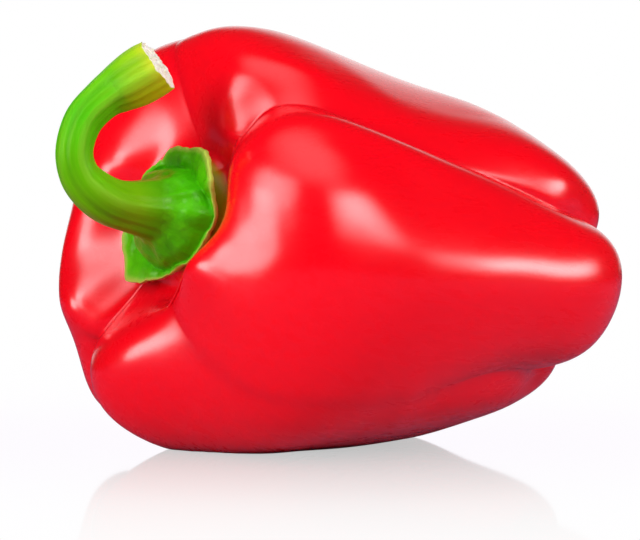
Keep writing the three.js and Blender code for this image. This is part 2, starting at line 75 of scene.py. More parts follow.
FRUIT_STATIONS = [
    [101.5, 101.5, 101.5, 101.5, 101.5, 101.5, 101.5, 101.5, 101.5, 101.5, 101.5, 101.5],
    [101.5, 101.5, 101.5, 101.5, 101.5, 101.5, 101.5, 101.5, 101.5, 101.5, 101.5, 101.5],
    [101.0, 101.0, 101.0, 101.0, 101.0, 101.0, 101.0, 101.0, 101.0, 101.0, 101.0, 101.0],
    [96.3, 95.3, 95.8, 95.9, 96.1, 97.1, 97.5, 97.5, 97.5, 97.5, 97.5, 97.5],
    [106.2, 106.6, 102.7, 97.8, 97.3, 103.5, 107.7, 109.8, 109.4, 108.7, 110.2, 113.1],
    [105.0, 106.0, 100.4, 96.0, 99.4, 103.3, 102.2, 106.0, 113.1, 108.7, 107.4, 109.7],
    [98.7, 96.1, 91.8, 91.6, 95.1, 92.6, 86.8, 89.6, 108.9, 103.1, 100.6, 99.9],
    [83.7, 80.4, 76.8, 77.2, 79.2, 76.4, 74.8, 80.2, 90.9, 89.6, 87.8, 85.5],
    [67.8, 62.4, 58.0, 58.3, 59.1, 59.2, 61.0, 65.3, 72.5, 76.3, 75.3, 72.3],
    [54.7, 46.4, 41.0, 40.6, 41.5, 43.4, 46.8, 50.9, 55.6, 59.9, 62.2, 61.2],
    [40.5, 32.4, 26.8, 25.1, 26.2, 28.6, 32.1, 36.2, 40.2, 43.7, 46.3, 46.7],
    [26.9, 21.7, 17.4, 14.9, 15.0, 17.0, 20.0, 24.2, 27.8, 30.1, 33.7, 31.8],
    [14.8, 11.6, 8.9, 6.4, 5.8, 7.0, 9.6, 13.0, 17.1, 21.2, 23.8, 18.9],
    [5.8, 1.6, -0.1, -1.2, -1.6, -0.7, 1.3, 4.4, 8.5, 12.9, 15.1, 10.9],
    [1.7, -1.9, -3.4, -3.3, -2.9, -2.2, -0.9, 1.3, 4.1, 6.6, 7.4, 5.4],
    [4.8, 3.2, 2.5, 2.6, 2.9, 3.3, 3.9, 4.8, 6.0, 6.9, 7.1, 6.3],
    [9.0, 9.0, 9.0, 9.0, 9.0, 9.0, 9.0, 9.0, 9.0, 9.0, 9.0, 9.0],
    [10.1, 10.1, 10.1, 10.1, 10.1, 10.1, 10.1, 10.1, 10.1, 10.1, 10.1, 10.1],
]
RING_SHIFT_NEAR = [-4.00, -4.00, -4.00, -3.60, -1.80, 0, 0, 0, 0, 0, 0, 0, 0, 0, 0, 0, 0, 0]
RING_SHIFT_UP = [3.50, 3.50, 3.50, 3.15, 1.57, 0, 0, 0, 0, 0, 0, 0, 0, 0, 0, 0, 0, 0]
GROOVES = [
    {'angle': [41, 44, 48, 53, 60, 68, 63, 49, 37, 31, 26, 20, 22, 11, 4, 14, 30, 48],
     'valley': [0, 0, 0, 1.2, 4.2, 5.7, 4.3, 3.7, 4.4, 5.0, 5.3, 5.7, 6.0, 5.5, 5.0, 3.0, 0, 0], 'valleyWidth': [5.0, 5.0, 5.0, 5.0, 5.0, 5.0, 5.2, 5.2, 5.0, 5.0, 5.0, 5.0, 5.0, 5.0, 5.0, 5.0, 5.0, 5.0],
     'crease': [0, 0, 0, 0.5, 1.5, 1.2, 0.4, 0.3, 0.9, 1.6, 1.8, 1.9, 2.0, 2.0, 2.0, 1.0, 0, 0], 'creaseWidth': [1.5, 1.5, 1.5, 1.5, 1.5, 1.5, 1.5, 1.5, 1.5, 1.5, 1.5, 1.5, 1.5, 1.5, 1.5, 1.5, 1.5, 1.5]},
    {'angle': [103, 98, 93, 91, 107, 111, 118, 111, 115, 114, 115, 116, 114, 113, 114, 114, 115, 115],
     'valley': [0, 0, 0, 1.1, 2.4, 2.1, 2.1, 3.0, 3.8, 4.0, 4.3, 4.7, 5.0, 5.0, 5.0, 3.0, 0, 0], 'valleyWidth': [5.0, 5.0, 5.0, 5.0, 6.5, 7.5, 7.5, 6.5, 5.5, 5.0, 5.0, 5.0, 5.0, 5.0, 5.0, 5.0, 5.0, 5.0],
     'crease': [0, 0, 0, 0.4, 0.6, 0.3, 0.2, 0.5, 1.0, 1.6, 1.8, 1.9, 2.0, 2.0, 2.0, 1.0, 0, 0], 'creaseWidth': [1.5, 1.5, 1.5, 1.5, 1.5, 1.5, 1.5, 1.5, 1.5, 1.5, 1.5, 1.5, 1.5, 1.5, 1.5, 1.5, 1.5, 1.5]},
    {'angle': [222, 224, 223, 230, 232, 223, 241, 247, 228, 223, 221, 218, 222, 220, 219, 219, 220, 220],
     'valley': [0, 0, 0, 1.2, 3.8, 5.0, 5.0, 5.0, 4.5, 4.0, 4.3, 4.7, 5.0, 5.0, 5.0, 3.0, 0, 0], 'valleyWidth': [5.0, 5.0, 5.0, 5.0, 5.0, 5.0, 5.0, 5.0, 5.0, 5.0, 5.0, 5.0, 5.0, 5.0, 5.0, 5.0, 5.0, 5.0],
     'crease': [0, 0, 0, 0.5, 2.0, 3.0, 2.7, 2.3, 2.0, 2.0, 2.0, 2.0, 2.0, 2.0, 2.0, 1.0, 0, 0], 'creaseWidth': [1.2, 1.2, 1.2, 1.2, 1.2, 1.2, 1.2, 1.2, 1.2, 1.2, 1.2, 1.2, 1.2, 1.2, 1.2, 1.2, 1.2, 1.2]},
    {'angle': [269, 279, 288, 284, 282, 289, 303, 317, 319, 324, 330, 329, 324, 338, 340, 331, 319, 305],
     'valley': [0, 0, 0, 1.2, 3.0, 1.0, 0, 0, 0, 0.7, 2.0, 3.5, 5.0, 5.0, 5.0, 3.0, 0, 0], 'valleyWidth': [5.0, 5.0, 5.0, 6.0, 7.0, 8.0, 8.0, 5.0, 5.0, 5.0, 5.0, 5.0, 5.0, 5.0, 5.0, 5.0, 5.0, 5.0],
     'crease': [0, 0, 0, 0.5, 0.8, 0.1, 0, 0, 0, 0, 0.5, 1.0, 2.0, 2.0, 2.0, 1.0, 0, 0], 'creaseWidth': [1.5, 1.5, 1.5, 1.5, 1.5, 1.5, 1.5, 1.5, 1.5, 1.5, 1.5, 1.5, 1.5, 1.5, 1.5, 1.5, 1.5, 1.5]},
]
DENTS = [
    [9.51, 355.80, 1.78, 9.00, -0.81, -1.40],
    [8.90, 14.85, 1.07, 7.00, -3.34, 0.90],
    [8.68, 24.45, 1.46, 5.00, -18.45, -0.70],
    [6.80, 28.80, 0.67, 3.60, -53.13, 0.75],
    [7.38, 14.25, 0.58, 3.60, -73.42, 0.55],
    [6.35, 17.55, 0.80, 7.00, -58.78, -0.70],
    [7.20, 61.80, 0.84, 3.40, -81.04, 0.70],
    [6.52, 64.35, 0.61, 6.00, -64.52, -0.50],
    [8.56, 45.90, 1.02, 6.00, -35.96, 0.70],
    [5.07, 351.60, 0.55, 4.00, -85.83, 0.30],
    [8.61, 316.65, 0.64, 2.40, -67.51, -0.45],
    [10.36, 242.93, 2.40, 11.37, 0, -3.00],
    [11.00, 259.99, 2.39, 14.00, 0, -2.00],
    [9.17, 262.33, 1.28, 9.36, 0, 1.28],
    [4.90, 149.00, 1.10, 12.00, 0, -1.80],
    [3.70, 214.00, 0.80, 9.00, 0, -0.70],
]
COARSE_RINGS = [0.6, 1.1, 1.5, 1.8, 2.1, 2.35, 2.6, 2.85, 3.1, 3.4, 3.7, 4, 4.3, 4.6, 4.9, 5.2, 5.5, 5.8, 6.15, 6.5, 6.9, 7.3, 7.8, 8.3, 8.9, 9.5, 10.1, 10.7, 11.2, 11.6, 12, 12.35, 12.7, 13.05, 13.4, 13.7, 14, 14.35, 14.7, 15.1, 15.5, 16, 16.5]
COARSE_SIDES = 84
RR, ZZ = np.array(FRUIT_RADII, float), np.array(FRUIT_STATIONS, float)
M, N = RR.shape


def weights(t):
    return np.stack([(1-t)**3/6, (3*t**3-6*t**2+4)/6, (-3*t**3+3*t**2+3*t+1)/6, t**3/6], -1)


def slopes(t):
    return np.stack([-(1-t)**2/2, (9*t**2-12*t)/6, (-9*t**2+6*t+3)/6, t**2/2], -1)


def ring_list(vals, u):
    vals = np.asarray(vals, float)
    ext = np.concatenate([[2*vals[0]-vals[1]], vals, [2*vals[-1]-vals[-2]]])
    k = np.clip(np.floor(u).astype(int), 0, M-2)
    return (weights(u-k)*ext[k[:, None]+np.arange(4)]).sum(1)


def wrap(a):
    return (a+np.pi) % (2*np.pi)-np.pi


def skin(u, phi, detail=None):
    """u (n,), phi (n,m) in radians -> h, e, a (n,m), plus the distance field of each groove."""
    k = np.clip(np.floor(u).astype(int), 0, M-2)
    w, dw = weights(u-k), slopes(u-k)
    re = np.concatenate([-RR[1:2], RR, -RR[-2:-1]], 0)
    ze = np.concatenate([ZZ[1:2], ZZ, ZZ[-2:-1]], 0)
    rows = k[:, None]+np.arange(4)
    ru, zu = np.einsum('ua,uan->un', w, re[rows]), np.einsum('ua,uan->un', w, ze[rows])
    dru, dzu = np.einsum('ua,uan->un', dw, re[rows]), np.einsum('ua,uan->un', dw, ze[rows])
    x = (phi/(2*np.pi)*N) % N
    j = np.floor(x).astype(int) % N
    ws = weights(x-np.floor(x))
    cols = (j[..., None]+np.array([-1, 0, 1, 2])) % N
    lines = np.arange(len(u))[:, None, None]
    ev = lambda A: (ws*A[lines, cols]).sum(-1)
    r, z, dr, dz = ev(ru), ev(zu), ev(dru), ev(dzu)
    ln = np.sqrt(dr**2+dz**2)+1e-9
    nr, nz = -dz/ln, dr/ln
    d = np.zeros_like(r)
    near = []
    for g in GROOVES:
        dist = wrap(phi-np.radians(ring_list(g['angle'], u))[:, None])*r
        d += ring_list(g['valley'], u)[:, None]*np.exp(-0.5*(dist/ring_list(g['valleyWidth'], u)[:, None])**2)
        d += ring_list(g['crease'], u)[:, None]*np.exp(-(np.sqrt((dist/ring_list(g['creaseWidth'], u)[:, None])**2+0.04)-0.2))
        near.append(dist)
    for u0, f0, su, sf, turn, depth in DENTS:
        X = (u-u0)[:, None]*12
        Y = np.degrees(wrap(phi-math.radians(f0)))
        c, s = math.cos(math.radians(turn)), math.sin(math.radians(turn))
        d += depth*np.exp(-0.5*(((c*X+s*Y)/(su*12))**2+((-s*X+c*Y)/sf)**2))
    if detail is not None:
        d = d-detail
    r = r-nr*d
    z = z-nz*d
    return (r*np.cos(phi)+ring_list(RING_SHIFT_NEAR, u)[:, None],
            r*np.sin(phi)+ring_list(RING_SHIFT_UP, u)[:, None], z, near, r)


def to_frame(h, e, a):
    t = math.radians(AXIS_TILT)
    return np.stack([-math.cos(t)*a+math.sin(t)*e, -h, math.sin(t)*a+math.cos(t)*e], -1)


def side_angles(u):
    """The CAD's columns on one ring: closer together near the grooves."""
    f = np.linspace(0, 2*np.pi, 1441)
    w = np.ones(1441)
    for g in GROOVES:
        middle = math.radians(ring_list(g['angle'], np.array([u]))[0])
        w += 2.6*np.exp(-0.5*(wrap(f-middle)/math.radians(5))**2)
    total = np.concatenate([[0], np.cumsum((w[1:]+w[:-1])/2)])
    return np.interp(np.arange(COARSE_SIDES)/COARSE_SIDES*total[-1], total, f)


# where the CAD put the pepper: the same coarse rings, compared with the CAD node's box
cu = np.array(COARSE_RINGS, float)
cphi = np.array([side_angles(u) for u in cu])
ch, ce, ca, _, _ = skin(cu, cphi)
coarse = to_frame(ch, ce, ca)
REST_Z = coarse[..., 2].min()+FLAT_DEPTH
coarse[..., 2] = np.maximum(coarse[..., 2], REST_Z)
lo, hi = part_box("fruit")
SHIFT = np.array(lo)*1000.0-coarse.reshape(-1, 3).min(0)


def place(P):
    """mm in the pepper's frame -> metres in the shared frame"""
    return (np.asarray(P, float)+SHIFT)*0.001


def smoothstep(a, b, x):
    t = np.clip((x-a)/(b-a), 0, 1)
    return t*t*(3-2*t)


def waves(P, seed, freq, octaves=3):
    """Smooth repeatable noise in about -1..1 at points P (..., 3)."""
    rng = np.random.RandomState(seed)
    out = np.zeros(P.shape[:-1])
    amp, total = 1.0, 0.0
    for _ in range(octaves):
        for _ in range(5):
            d = rng.normal(size=3)
            d /= np.linalg.norm(d)
            out += amp*np.sin(P@(d*freq*rng.uniform(0.7, 1.3))+rng.uniform(0, 6.283))/2.2
        total += amp
        amp *= 0.5
        freq *= 1.9
    return out/total


def outward(verts, faces):
    """The faces of a closed mesh, all turned so that they look outwards."""
    v = np.asarray(verts, float)
    c = v.mean(0)
    vol = 0.0
    for n in (3, 4):
        f = np.array([q for q in faces if len(q) == n])
        if len(f):
            q = v[f]-c
            vol += np.einsum('ij,ij->', q[:, 0], np.cross(q[:, 1], q[:, 2]))
            if n == 4:
                vol += np.einsum('ij,ij->', q[:, 0], np.cross(q[:, 2], q[:, 3]))
    return faces if vol > 0 else [tuple(reversed(f)) for f in faces]


def build(name, verts, faces, attrs=None, normals=None):
    faces = outward(verts, faces)
    me = bpy.data.meshes.new(name)
    me.from_pydata([tuple(v) for v in verts], [], [tuple(f) for f in faces])
    me.update()
    for key, val in (attrs or {}).items():
        val = np.asarray(val, np.float32)
        if val.ndim == 1:
            at = me.attributes.new(key, 'FLOAT', 'POINT')
            at.data.foreach_set('value', val)
        else:
            at = me.attributes.new(key, 'FLOAT_VECTOR', 'POINT')
            at.data.foreach_set('vector', val.ravel())
    me.polygons.foreach_set('use_smooth', [True]*len(me.polygons))
    if normals is not None:
        me.normals_split_custom_set_from_vertices([tuple(n) for n in normals])
    ob = bpy.data.objects.new(name, me)
    bpy.context.scene.collection.objects.link(ob)
    return ob


def ring_faces(rings, n, start, wrapped=True, flip=False):
    out = []
    for k in range(rings-1):
        for j in range(n):
            a, b = start+k*n+j, start+k*n+(j+1) % n
            c, d = a+n, b+n
            out.append((a, c, d, b) if not flip else (a, b, d, c))
    return out


# ------------------------------------------------------------------ fruit
NU, NV = 290, 320
# rings: closer where the skin turns fast (cavity, shoulders, blossom end)
uu = np.linspace(0, M-1, 4000)
dens = 1.0+1.6*np.exp(-((uu-3.2)/2.2)**2)+0.6*np.exp(-((uu-14)/1.6)**2)
cum = np.concatenate([[0], np.cumsum((dens[1:]+dens[:-1])/2)])
U = np.interp(np.linspace(0, cum[-1], NU+2)[1:-1], cum, uu)
# columns: closer along the four grooves
base_phi = np.linspace(0, 2*np.pi, 1441)
PHI = np.empty((NU, NV))
for i, u in enumerate(U):
    dn = np.ones(1441)
    for g in GROOVES:
        c = math.radians(ring_list(g['angle'], np.array([u]))[0])
        dn += 3.2*np.exp(-0.5*(wrap(base_phi-c)/math.radians(4.5))**2)
    cm = np.concatenate([[0], np.cumsum((dn[1:]+dn[:-1])/2)])
    # the first column stays at angle zero
    PHI[i] = np.interp(np.linspace(0, cm[-1], NV, endpoint=False), cm, base_phi)
h, e, a, near, rr = skin(U, PHI)
P0 = to_frame(h, e, a)
# very shallow unevenness that a grown skin has
body = smoothstep(2.6, 5.0, U)*(1-smoothstep(15.5, 16.5, U))
flow = np.stack([h*0.055, e*0.055, a*0.018], -1)
detail = (0.16*waves(P0*0.11, 3, 1.0, 2)+0.05*waves(flow*6.0, 5, 1.0, 3))*body[:, None]
h, e, a, near, rr = skin(U, PHI, detail)
P = to_frame(h, e, a)
# the lowest lobe is pressed flat where it rests
P[..., 2] = np.maximum(P[..., 2], REST_Z)
h0, e0, a0, _, _ = skin(np.array([0.0, M-1.0]), np.zeros((2, 1)))
poles = to_frame(h0, e0, a0)[:, 0]
verts = np.concatenate([poles[:1], P.reshape(-1, 3), poles[1:]])
faces = [(0, 1+j, 1+(j+1) % NV) for j in range(NV)]
faces += ring_faces(NU, NV, 1)
end = len(verts)-1
last = 1+(NU-1)*NV
faces += [(end, last+(j+1) % NV, last+j) for j in range(NV)]
# mask along the four grooves, used for painted shade there: the skin's red is darkened in the creases
groove = np.zeros((NU, NV))
for dist in near:
    groove = np.maximum(groove, np.exp(-(dist/2.2)**2))
ugrid = U[:, None].repeat(NV, 1)
# the olive ring is narrower under the calyx than beside it
turn = np.degrees(PHI)[None, :] if PHI.ndim == 1 else np.degrees(PHI)
lowside = np.exp(-((((turn-255)+180) % 360-180)/48)**2)
neck = 1-smoothstep(0.0, 0.75, ugrid-2.15+0.85*lowside)
att = {
    'neck': np.concatenate([[1], neck.ravel(), [0]]),
    'groove': np.concatenate([[0], (groove*body[:, None]).ravel(), [0]]),
    'along': np.concatenate([[0], (ugrid/(M-1)).ravel(), [1]]),
    'flow': np.concatenate([[[0, 0, 5]], np.stack([h*0.06, e*0.06, a*0.012], -1).reshape(-1, 3), [[0, 0, 0]]]),
}
fruit = build("fruit_skin", place(verts), faces, att)

# ------------------------------------------------------------------ stem centre line
STEM_PATH = np.array([
  [-2.0, 4.2, 110.6, 6.3], [-2.5, 4.2, 115.5, 5.4], [-2.9, 4.7, 120.0, 5.05], [-3.4, 6.4, 124.1, 4.7],
  [-4.2, 9.4, 127.6, 4.15], [-4.4, 14.4, 129.4, 3.9], [-4.1, 20.7, 128.0, 4.0], [-2.3, 25.5, 124.8, 4.3],
  [-0.6, 28.1, 122.2, 5.1], [1.9, 30.2, 120.4, 5.8], [4.3, 32.1, 118.9, 6.0], [6.4, 33.6, 117.8, 5.8],
])
CALYX_CENTRE = (-4.0, 3.5)
CALYX_SEAT = 101.5
CALYX_BOSS_RADIUS = 11.5
CALYX_RIM = [
  [0, 15.7, 102.0], [9, 15.9, 102.2], [18, 16.2, 102.8], [23, 18.2, 104.0], [40, 17.6, 103.0], [55, 17.3, 101.8],
  [73, 15.0, 101.4], [90, 14.6, 101.4], [98, 14.4, 101.4], [108, 12.6, 101.4], [125, 12.4, 101.6], [150, 12.8, 101.8],
  [175, 13.2, 101.8], [190, 13.8, 101.8], [197, 15.4, 101.8], [205, 15.8, 101.8], [219, 16.4, 101.8], [231, 18.7, 102.4],
  [236, 17.8, 102.2], [251, 15.0, 101.8], [270, 13.2, 101.8], [289, 12.4, 101.8], [294, 12.2, 101.8], [314, 12.8, 101.8],
  [330, 13.4, 101.8], [346, 14.2, 101.8],
]


def catmull(pts, t):
    pts = np.asarray(pts, float)
    ext = np.concatenate([2*pts[:1]-pts[1:2], pts, 2*pts[-1:]-pts[-2:-1]])
    k = np.clip(np.floor(t).astype(int), 0, len(pts)-2)
    x = (t-k)[:, None]
    p0, p1, p2, p3 = ext[k], ext[k+1], ext[k+2], ext[k+3]
    return p1+0.5*x*(p2-p0+x*(2*p0-5*p1+4*p2-p3+x*(3*(p1-p2)+p3-p0)))


def stem_frames(ts):
    q = catmull(STEM_PATH, ts)
    # a little smoothing takes out the knots of the curve
    for _ in range(24):
        q[1:-1] = 0.25*q[:-2]+0.5*q[1:-1]+0.25*q[2:]
    c = q[:, :3]
    t = np.gradient(c, axis=0)
    t /= np.linalg.norm(t, axis=1, keepdims=True)
    u = np.zeros_like(c)
    v0 = np.array([1.0, 0, 0])
    for i in range(len(c)):
        v0 = v0-t[i]*(v0@t[i])
        v0 /= np.linalg.norm(v0)
        u[i] = v0
    return c, t, u, np.cross(t, u), q[:, 3]


NS, NT = 240, 112
ts = np.linspace(0, len(STEM_PATH)-1, NS)
SC, ST, SU, SV, SR = stem_frames(ts)
arc = np.concatenate([[0], np.cumsum(np.linalg.norm(np.diff(SC, axis=0), axis=1))])
TH = np.arange(NT)/NT*2*np.pi


def ridge(theta, s):
    """Lengthwise ridges of the stem, as a part of its radius."""
    w = 0.035*np.cos(5*theta+0.5+0.012*s)+0.018*np.cos(3*theta-0.9+0.02*s)+0.010*np.cos(11*theta+0.02*s+1.0)
    w += 0.006*np.cos(17*theta-0.01*s)
    return w


def stem_ring(c, t, u, v, r, s, n_theta, extra=0.0):
    rad = r*(1+ridge(n_theta, s))+extra
    return c+u*(rad*np.cos(n_theta))[:, None]+v*(rad*np.sin(n_theta))[:, None]

# ------------------------------------------------------------------ calyx and stem, one continuous outer surface
neck_ring = stem_ring(SC[0], ST[0], SU[0], SV[0], SR[0], 0.0, TH)
PSI = np.arctan2(neck_ring[:, 1]-SC[0][1], neck_ring[:, 0]-SC[0][0])
deg = np.degrees(PSI) % 360
rim_a = np.array([q[0] for q in CALYX_RIM], float)
rim_r = np.array([q[1] for q in CALYX_RIM], float)
rim_u = np.array([q[2] for q in CALYX_RIM], float)


def around(x, xs, ys):
    return np.interp(x, np.r_[xs[-1]-360, xs, xs[0]+360], np.r_[ys[-1], ys, ys[0]])


def bell(x, c, w):
    return np.exp(-((((x-c)+180) % 360-180)/w)**2)


r_rim = around(deg, rim_a, rim_r)
under = around(deg, rim_a, rim_u)
circ = np.stack([np.cos(PSI), np.sin(PSI)], -1)
r_rim = r_rim+0.16*np.sin(23*PSI+0.7)*np.sin(7*PSI)+0.10*np.sin(41*PSI+2.0)
r_dome = np.minimum(10.9+0.5*np.sin(3*PSI+0.6)+0.35*np.sin(5*PSI+2.2), r_rim-1.3)
# on the near side the dome fills the cap right out to its rim
full = np.minimum(1.0, 1.7*bell(deg, 330, 44))
r_dome = r_dome+(r_rim-0.8-r_dome)*full
flap = bell(deg, 27, 15)
thick = 1.15+0.15*np.sin(9*PSI)
top_rim = under+thick

DOME = [(0, 1.0), (0.06, 0.875), (0.14, 0.765), (0.26, 0.665), (0.4, 0.585), (0.55, 0.51), (0.68, 0.42), (0.8, 0.305), (0.9, 0.17), (0.96, 0.075), (1.0, 0.02)]
tau = np.linspace(0, 1, 34)
dx, dy = np.array([q[0] for q in DOME]), np.array([q[1] for q in DOME])
# smooth the table
fine = np.linspace(0, 1, 401)
prof = np.interp(fine, dx, dy)
for _ in range(60):
    prof[1:-1] = 0.25*prof[:-2]+0.5*prof[1:-1]+0.25*prof[2:]
nr0 = np.hypot(neck_ring[:, 0]-SC[0][0], neck_ring[:, 1]-SC[0][1])
top = []
dome_t = []
for t in tau:
    g = np.interp(t, fine, prof)
    cx = SC[0][0]+(CALYX_CENTRE[0]-SC[0][0])*t
    cy = SC[0][1]+(CALYX_CENTRE[1]-SC[0][1])*t
    r = nr0+(r_dome-nr0)*t
    z_flange = top_rim-0.15
    z = z_flange+(neck_ring[:, 2]-z_flange)*g
    pt = np.stack([cx+r*circ[:, 0], cy+r*circ[:, 1], z], -1)
    # ribs that run out from the stem towards the corners of the rim, and dimples between them
    amp = 0.42*math.sin(math.pi*min(t*1.05, 1))
    pt[:, 2] += amp*(0.6*np.cos(6*PSI+0.4)+0.4*np.cos(11*PSI+1.9))
    pt[:, 2] += 0.30*waves(pt*0.8, 11, 1.0, 2)*smoothstep(0.1, 0.5, t)
    pt[:, 2] -= 0.75*math.exp(-((t-1.0)/0.10)**2)*(0.5+0.5*bell(deg, 30, 30)+0.3*np.sin(7*PSI))*(1-0.6*full)
    top.append(pt)
    dome_t.append(np.full(NT, t))
fl = np.linspace(0, 1, 17)[1:]
for q in fl:
    r = r_dome+(r_rim-r_dome)*q
    z = top_rim-0.15+0.15*q
    pt = np.stack([CALYX_CENTRE[0]+r*circ[:, 0], CALYX_CENTRE[1]+r*circ[:, 1], z], -1)
    pt[:, 2] -= 0.75*math.exp(-(q/0.25)**2)*(0.5+0.5*bell(deg, 30, 30)+0.3*np.sin(7*PSI))*(1-0.6*full)
    pt[:, 2] += 0.42*math.sin(math.pi*q)*waves(pt*1.3, 17, 1.0, 2)
    pt[:, 2] += flap*0.9*math.sin(math.pi*0.5*q)
    top.append(pt)
    dome_t.append(np.full(NT, 1+q))
edge = []
for f in (0.25, 0.6, 0.9):
    r = r_rim+0.12*math.sin(math.pi*f)
    z = top[-1][:, 2]+(under-0.05+flap*0.9-top[-1][:, 2])*f
    edge.append(np.stack([CALYX_CENTRE[0]+r*circ[:, 0], CALYX_CENTRE[1]+r*circ[:, 1], z], -1))
low = []
for f in (1.0, 0.85, 0.65, 0.45, 0.25, 0.0):
    r = CALYX_BOSS_RADIUS+(r_rim-0.25-CALYX_BOSS_RADIUS)*f
    z = CALYX_SEAT+0.15+(under+flap*0.9*f-CALYX_SEAT-0.15)*f
    low.append(np.stack([CALYX_CENTRE[0]+r*circ[:, 0], CALYX_CENTRE[1]+r*circ[:, 1], z], -1))
low.append(np.stack([CALYX_CENTRE[0]+5*circ[:, 0], CALYX_CENTRE[1]+5*circ[:, 1], np.full(NT, CALYX_SEAT+0.15)], -1))

# stem rings, from the neck to the cut end
stem = [neck_ring]
for i in range(1, NS):
    stem.append(stem_ring(SC[i], ST[i], SU[i], SV[i], SR[i], arc[i], TH, 0.0))
stem = np.array(stem)
S3 = arc[:, None].repeat(NT, 1)
wob = waves(np.stack([np.cos(TH)[None, :]*4+0*S3, np.sin(TH)[None, :]*4+0*S3, S3*0.35], -1)*0.9, 23, 1.0, 3)
centre = SC[:, None, :]
out = (stem-centre)/np.linalg.norm(stem-centre, axis=2, keepdims=True)
stem = stem+out*(0.10*wob*smoothstep(0, 6, arc)[:, None])[..., None]

# normals of the two together, so that no seam shows at the neck
joined = np.concatenate([np.array(top)[::-1], stem[1:]], 0)
JP = to_frame(joined[..., 0], joined[..., 1], joined[..., 2])
gu = np.gradient(JP, axis=0)
gv = np.roll(JP, -1, 1)-np.roll(JP, 1, 1)
JN = np.cross(gv, gu)
JN /= np.linalg.norm(JN, axis=-1, keepdims=True)+1e-12
mid = len(top)-1+NS//2
cen = to_frame(SC[NS//2][0], SC[NS//2][1], SC[NS//2][2])
if ((JP[mid]-cen)*JN[mid]).sum() < 0:
    JN = -JN

# calyx mesh: neck to rim, round the edge, underneath, to the middle; closed inside the stem
cal = np.array(top+edge+low)
KC = len(cal)
CP = to_frame(cal[..., 0], cal[..., 1], cal[..., 2])
c_in = to_frame(*(SC[0]-ST[0]*1.5))
c_mid = to_frame(CALYX_CENTRE[0], CALYX_CENTRE[1], CALYX_SEAT+0.15)
cv = np.concatenate([[c_in], CP.reshape(-1, 3), [c_mid]])
cf = [(0, 1+(j+1) % NT, 1+j) for j in range(NT)]
cf += ring_faces(KC, NT, 1, flip=True)
cl = 1+(KC-1)*NT
cf += [(len(cv)-1, cl+j, cl+(j+1) % NT) for j in range(NT)]
tt = np.concatenate(dome_t+[np.full(NT, 2.0)]*3+[np.full(NT, 2.2)]*len(low))
cal_att = {
    'zone': np.concatenate([[0], tt, [2.2]]),
    'angle': np.concatenate([[0], np.tile(deg, KC), [0]]),
    'edge': np.concatenate([[0], smoothstep(1.72, 2.0, tt)*(tt < 2.1), [0]]),
    'flow': np.concatenate([[[0, 0, 0]], np.stack([np.tile(circ[:, 0], KC), np.tile(circ[:, 1], KC), tt*0.35], -1), [[0, 0, 0]]]),
}
calyx = build("calyx_cap", place(cv), cf, cal_att)

# stem mesh: from just inside the neck to the torn end
inner = stem_ring(SC[0]-ST[0]*0.9, ST[0], SU[0], SV[0], SR[0]*0.9, 0.0, TH)
cut_c, cut_t, cut_u, cut_v, cut_r = SC[-1], ST[-1], SU[-1], SV[-1], SR[-1]
# the cut leans: its lower side reaches a little further
up_axis = np.array([(to_frame(*row)-to_frame(0.0, 0.0, 0.0))[2] for row in np.eye(3)])
lean = lambda ring: ring+cut_t*((ring-cut_c)@(cut_v*-0.10+cut_u*0.12-up_axis*0.17))[:, None]
face = []
for f, lift in ((0.985, 0.12), (0.95, 0.05), (0.9, 0.12), (0.82, 0.3), (0.7, 0.55), (0.57, 0.75), (0.43, 0.85), (0.29, 0.9), (0.15, 0.95)):
    ring = stem_ring(cut_c+cut_t*lift, cut_t, cut_u, cut_v, cut_r*f, arc[-1], TH)
    n1 = waves(ring*2.2, 31, 1.0, 3)
    n2 = waves(ring*5.0, 37, 1.0, 2)
    ring = ring+cut_t*((0.42*n1+0.16*n2)*smoothstep(0.99, 0.85, f))[:, None]
    face.append(ring)
stem_rows = np.concatenate([inner[None], stem, np.array(face)], 0)
# apply the lean gradually over the last millimetres
for i in range(NS):
    w = smoothstep(arc[-1]-5.0, arc[-1], arc[i])
    if w > 0:
        stem_rows[1+i] = stem_rows[1+i]*(1-w)+lean(stem_rows[1+i])*w
        jag = 0.28*waves(stem_rows[1+i]*3.0, 41, 1.0, 2)*smoothstep(arc[-1]-1.2, arc[-1], arc[i])
        stem_rows[1+i] += cut_t*jag[:, None]
for i in range(len(face)):
    stem_rows[1+NS+i] = lean(stem_rows[1+NS+i])
KS = len(stem_rows)
SP = to_frame(stem_rows[..., 0], stem_rows[..., 1], stem_rows[..., 2])
s_in = to_frame(*(SC[0]-ST[0]*0.9))
s_out = SP[-1].mean(0)+0.05*(to_frame(*ST[-1])-to_frame(0, 0, 0))
sv = np.concatenate([[s_in], SP.reshape(-1, 3), [s_out]])
sf = [(0, 1+(j+1) % NT, 1+j) for j in range(NT)]
sf += ring_faces(KS, NT, 1, flip=True)
sl = 1+(KS-1)*NT
sf += [(len(sv)-1, sl+j, sl+(j+1) % NT) for j in range(NT)]
cutmask = np.concatenate([np.zeros(1), np.zeros(NS-1), [0.25], np.ones(len(face))])
smask = np.concatenate([[0], arc, np.full(len(face), arc[-1]+1)])
